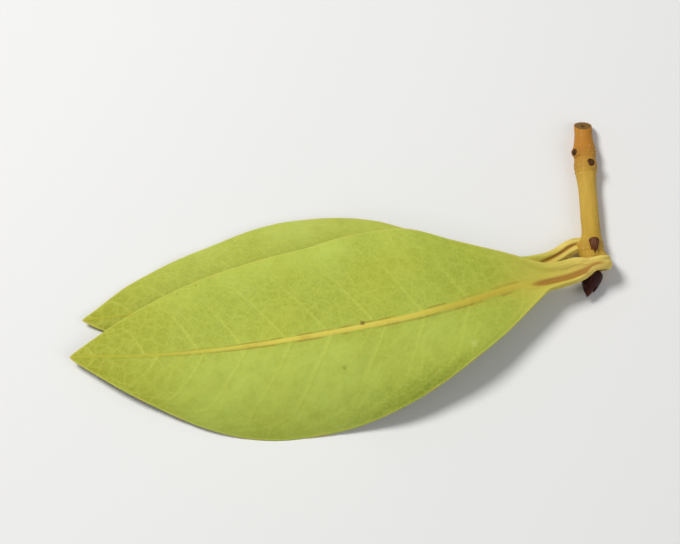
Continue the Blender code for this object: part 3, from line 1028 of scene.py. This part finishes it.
tipBud = {
    "Base": (-0.0, -1.75, 1.42),
    "Heading": (-0.24, -1.0, 0.0),
    "Length": 3.85,
    "Radius": 1.36,
    "Scales": 9,
    "Seed": 2,
}
axilBud = {
    "Base": (0.12, 2.25, 2.72),
    "Heading": (0.0, -1.0, 0.1),
    "Length": 2.2,
    "Radius": 0.5,
    "Scales": 5,
    "First Tip": 0.84,
    "Seed": 5,
}
# the tip bud's near-black maroon is partly its own colour and partly painted shade
tipBudColoursAndShade = palette(dark=(42, 6, 6), light=(62, 16, 12), rim=(92, 40, 22))
axilBudColours = palette(dark=(78, 34, 12), light=(112, 60, 22), rim=(150, 100, 40))
budInputs = {
    "Base": (0.0, 0.0, 0.0),
    "Heading": (0.0, -1.0, 0.0),
    "Length": 3.6,
    "Radius": 1.3,
    "Scales": 9,
    "Scale Spread": 1.25,
    "Scale Thickness": 0.1,
    "First Tip": 0.5,
    "Seed": 1,
    "Material": None,
}
goldenAngle = math.radians(137.5)
budForm = {
    "fullness": 1.78,  # with the bluntness at the foot, it makes the bud as wide as its radius says
    "bluntness": 0.24,
    "coreShare": 0.9,
    "keelWidth": 0.22,
    "keelHeight": 0.035,
    "tipLift": 0.08,
    "innerNarrowing": 0.35,
}


def budTree():
    form = budForm
    graph, given = geometryTree("scaledBud", budInputs)
    heading = graph.direction("NORMALIZE", given["Heading"])
    sideways = graph.direction("NORMALIZE", graph.direction("CROSS_PRODUCT", heading, (0.0, 0.0, 1.0)))
    upward = graph.direction("CROSS_PRODUCT", sideways, heading)

    def roundAxis(share, turn, radius):
        spot = given["Base"] + heading * (share * given["Length"])
        return spot + (sideways * graph.fn("COSINE", turn) + upward * graph.fn("SINE", turn)) * radius

    def egg(share):
        rounding = graph.clamp(share) ** form["bluntness"]
        return given["Radius"] * form["fullness"] * rounding * graph.clamp(1 - share)

    core = graph.grid(24, 33)
    share, around, _ = graph.split(core.also("UV Map"))
    place = roundAxis(share * 0.97, around * (2 * math.pi), egg(share) * form["coreShare"])
    core = graph.move(core, Position=place)

    patch = graph.grid(22, 17)
    patch = keep(graph, patch, patch=patch.also("UV Map"))
    starts = graph.line(given["Scales"])
    index = graph.add("GeometryNodeInputIndex")
    starts = keep(graph, starts, scale=index, chance=graph.random(-1.0, 1.0, given["Seed"]))
    scales = graph.copies(starts, patch)
    down, across, _ = graph.split(named(graph, "patch", "FLOAT_VECTOR"))
    across = across * 2 - 1
    number, chance = named(graph, "scale"), named(graph, "chance")
    inner = number / given["Scales"]
    tip = given["First Tip"] + (1 - given["First Tip"]) * inner ** 0.7 + chance * 0.03
    width = graph.clamp(1 - down ** 2.2) ** 0.7 * given["Scale Spread"] * (1 - inner * form["innerNarrowing"])
    turn = number * goldenAngle + chance * 0.15 + width * across
    share = down * tip
    layer = (1 - inner) * given["Scale Thickness"] * 1.3
    edge = graph.fn("SQRT", graph.clamp(1 - graph.fn("ABSOLUTE", across) ** 5))
    edge = edge * graph.fn("SQRT", graph.clamp(1 - down ** 8))
    lift = down ** 4 * form["tipLift"] * (1 - inner)
    keel = graph.bell(across, form["keelWidth"]) * form["keelHeight"] * (1 - down * 0.5)
    hug = egg(share) * form["coreShare"] + (layer + lift) * graph.step(down, 0.0, 0.2)
    thick = (given["Scale Thickness"] + keel) * edge * graph.step(down, 0.0, 0.15)
    outer = graph.move(scales, Position=roundAxis(share, turn, hug + thick))
    under = graph.flip(graph.move(scales, Position=roundAxis(share, turn, hug)))
    endTree(graph, closeUp(graph, core, outer, under), given["Material"])
    return graph


def budPaint(name, colours):
    material, shader, graph = startSkin(name)
    number = graph.read("scale")
    down, across, _ = graph.split(graph.read("patch", "Vector"))
    across = graph.fn("ABSOLUTE", across * 2 - 1)
    streaks = graph.noise(graph.vector(across * 5.0, down * 0.8, number * 3.0), 0.3, 4)
    colour = graph.blend(graph.step(streaks, 0.4, 0.65), colours["dark"], colours["light"])
    border = graph.fn("MAXIMUM", graph.step(across, 0.72, 0.98), graph.step(down, 0.82, 0.98))
    colour = graph.blend(border * 0.6, colour, colours["rim"])
    graph.finish(shader, colour, 0.45 + streaks * 0.25, 0.25, streaks, (0.4, 0.00004))
    return material


def growBud(name, values, tree, material, nodes=()):
    seedMesh = bpy.data.objects.new(name, bpy.data.meshes.new(name))
    mesh = growThrough(seedMesh, tree, {**values, "Material": material})
    addPiece(name, mesh, nodes)


budScales = budTree()
growBud("fine_tip_bud", tipBud, budScales, budPaint("tipBudSkinAndShade", tipBudColoursAndShade), ["tip_bud"])
growBud("axil_bud", axilBud, budScales, budPaint("axilBudSkin", axilBudColours))


stage = {
    "floorColour": (0.84, 0.83, 0.80, 1),
    "floorSize": 3,
    "floorDrop": 0.00002,
    "floorRoughness": 0.9,
    # each light's place from the sprig's middle, then its size and power
    "key": ((-0.22, 0.14, 0.41), 0.16, 1.86),
    "fill": ((0.34, -0.22, 0.35), 0.4, 0.55),
    "skyColour": (0.9, 0.93, 1.0, 1),
    "skyStrength": 0.26,
    "cameraAzimuth": 0,
    "cameraElevation": 72,
    "lens": 120,
    "frameShare": 0.8,  # of the view's width that the sprig fills
}


def makeFloor():
    bpy.ops.mesh.primitive_plane_add(size=stage["floorSize"], location=(0, 0, -stage["floorDrop"]))
    floor = bpy.context.object
    floor.name = "floor"
    material = bpy.data.materials.new("floorPaper")
    material.use_nodes = True
    shader = material.node_tree.nodes["Principled BSDF"]
    shader.inputs["Base Color"].default_value = stage["floorColour"]
    shader.inputs["Roughness"].default_value = stage["floorRoughness"]
    floor.data.materials.append(material)


def addSoftLight(name, target):
    offset, size, power = stage[name]
    light = bpy.data.lights.new(name, "AREA")
    light.shape = "DISK"
    light.size = size
    light.energy = power
    lamp = link(bpy.data.objects.new(name, light))
    lamp.location = target + Vector(offset)
    lamp.rotation_euler = (target - lamp.location).to_track_quat("-Z", "Y").to_euler()


def setStage():
    low, high = (Vector(corner) for corner in cadBox)
    middle = (low + high) / 2
    makeFloor()
    addSoftLight("key", middle)
    addSoftLight("fill", middle)
    world = bpy.data.worlds.new("studio")
    bpy.context.scene.world = world
    world.use_nodes = True
    sky = world.node_tree.nodes["Background"]
    sky.inputs["Color"].default_value = stage["skyColour"]
    sky.inputs["Strength"].default_value = stage["skyStrength"]

    camera = bpy.data.cameras.new("camera")
    camera.lens = stage["lens"]
    eye = link(bpy.data.objects.new("camera", camera))
    bpy.context.scene.camera = eye
    tilt = math.radians(stage["cameraElevation"])
    turn = math.radians(stage["cameraAzimuth"])
    toEye = Vector((math.sin(turn) * -math.cos(tilt), -math.cos(turn) * math.cos(tilt), math.sin(tilt)))
    distance = (high.x - low.x) / stage["frameShare"] * camera.lens / camera.sensor_width
    eye.location = middle + toEye * distance
    eye.rotation_euler = (-toEye).to_track_quat("-Z", "Y").to_euler()
    bpy.context.scene.view_settings.view_transform = "Standard"


setStage()
print("stage set")
